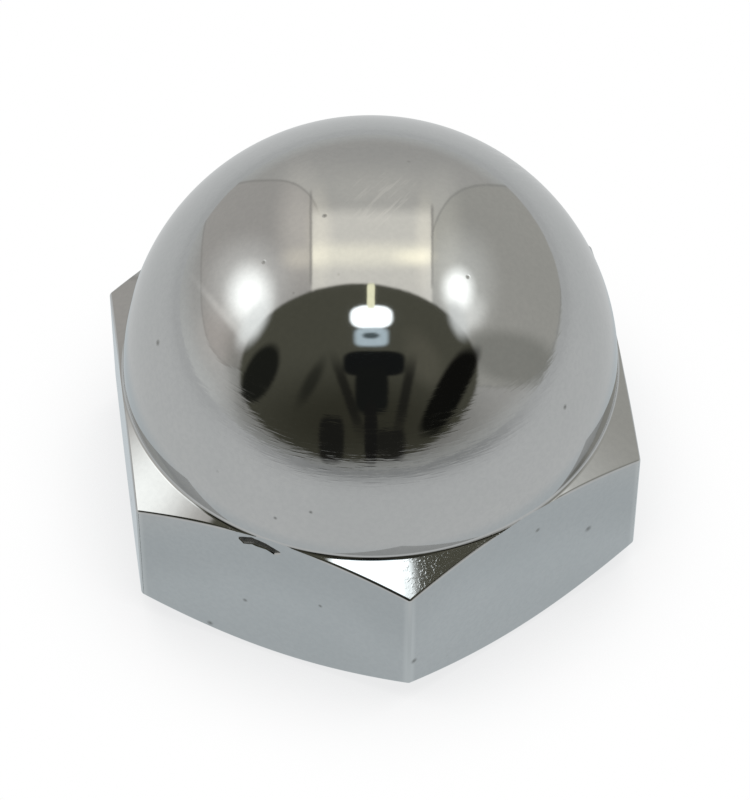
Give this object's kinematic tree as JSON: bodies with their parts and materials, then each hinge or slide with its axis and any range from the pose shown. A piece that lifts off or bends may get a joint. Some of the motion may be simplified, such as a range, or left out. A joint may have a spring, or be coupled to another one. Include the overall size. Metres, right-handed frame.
{
  "type": "wheel nut",
  "caption": "Chrome-plated hexagon wheel nut with a ball-shaped closed dome on top and a blind threaded hole in its flat underside.",
  "frame": {"origin": "centre of the flat bearing face on the underside, on the thread's axis", "axes": "+Z along the thread's axis towards the top of the dome, Y through two opposite corners of the hexagon, X square to two opposite flats"},
  "size_m": [0.038, 0.044, 0.0327],
  "materials": {
    "chrome_plate": "bright chrome plate over steel, lightly pitted and scuffed"
  },
  "bodies": {
    "root": {"wheel_nut": "chrome_plate"}
  },
  "joints": []
}
